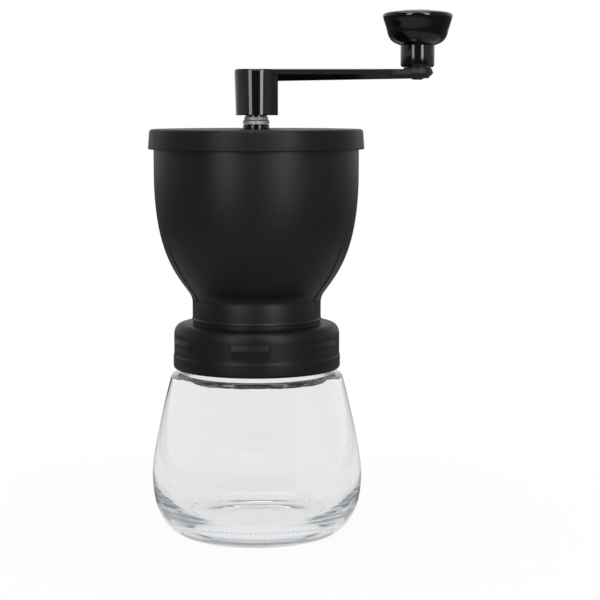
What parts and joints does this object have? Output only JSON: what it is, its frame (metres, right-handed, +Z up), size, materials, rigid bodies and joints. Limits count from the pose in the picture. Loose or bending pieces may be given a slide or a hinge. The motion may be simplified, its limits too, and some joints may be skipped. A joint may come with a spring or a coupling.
{
  "type": "hand crank coffee grinder",
  "caption": "Hand coffee mill: glass jar with screw-on hopper, conical ceramic burrs, adjusting nut, lid and lift-off side crank with turning knob.",
  "frame": {"origin": "centre of the jar's foot ring, on the drive shaft's axis", "axes": "+Z up along the shaft, +X along the crank arm from the shaft to the knob, +Y towards the back"},
  "size_m": [0.127, 0.0904, 0.2207],
  "materials": {
    "glass": "clear polished glass",
    "satin_black": "fine satin",
    "gloss_black": "gloss",
    "silicone": "matte translucent white",
    "ceramic": "fired ceramic, ground faces",
    "white_acetal": "smooth",
    "steel": "turned",
    "black_steel": "blackened",
    "brass": "turned"
  },
  "bodies": {
    "jar": {"glass_jar": "glass"},
    "seal": {"jar_seal": "silicone"},
    "head": {"hopper": "satin_black", "jar_collar": "satin_black", "burr_housing": "satin_black", "outer_burr": "ceramic", "housing_screws": "steel", "lower_bush": "white_acetal", "upper_bush": "gloss_black", "shaft_sleeve": "gloss_black"},
    "lid": {"hopper_lid": "satin_black"},
    "shaft": {"drive_shaft": "steel", "shaft_collar": "steel", "spacer_washer": "steel", "thrust_washer": "steel", "retaining_clip": "steel", "burr_spring": "steel"},
    "burr": {"inner_burr": "ceramic", "burr_carrier": "satin_black"},
    "nut": {"adjusting_nut": "satin_black", "nut_insert": "brass"},
    "crank": {"crank_arm": "gloss_black", "knob_spindle": "black_steel", "knob_washer": "satin_black"},
    "knob": {"knob": "gloss_black", "knob_cap": "gloss_black"}
  },
  "joints": [
    {"name": "head_rise", "type": "slide", "parent": "jar", "child": "seal", "axis": [0, 0, 1], "range_m": [0, 0.0064]},
    {"name": "head_screw", "type": "hinge", "parent": "seal", "child": "head", "pos_m": [0, 0, 0.09], "axis": [0, 0, 1], "range_deg": [0, 540]},
    {"name": "lid_lift", "type": "slide", "parent": "head", "child": "lid", "axis": [0, 0, 1], "range_m": [0, 0.031]},
    {"name": "shaft_spin", "type": "hinge", "parent": "head", "child": "shaft", "pos_m": [0, 0, 0.12], "axis": [0, 0, 1], "continuous": true},
    {"name": "crank_lift", "type": "slide", "parent": "shaft", "child": "crank", "axis": [0, 0, 1], "range_m": [0, 0.06]},
    {"name": "knob_spin", "type": "hinge", "parent": "crank", "child": "knob", "pos_m": [0.0672, 0, 0.2], "axis": [0, 0, 1], "continuous": true},
    {"name": "burr_gap", "type": "slide", "parent": "shaft", "child": "burr", "axis": [0, 0, -1], "range_m": [0, 0.00187], "deforming": ["burr_spring"]},
    {"name": "nut_turn", "type": "hinge", "parent": "burr", "child": "nut", "pos_m": [0, 0, 0.08], "axis": [0, 0, -1], "range_deg": [0, 540]}
  ],
  "couplings": [
    {"joint": "head_rise", "follows": "head_screw", "m_per_rad": 0.00066845},
    {"joint": "lid_lift", "follows": "crank_lift", "ratio": 0.5},
    {"joint": "nut_turn", "follows": "burr_gap", "rad_per_m": 5026.5}
  ]
}
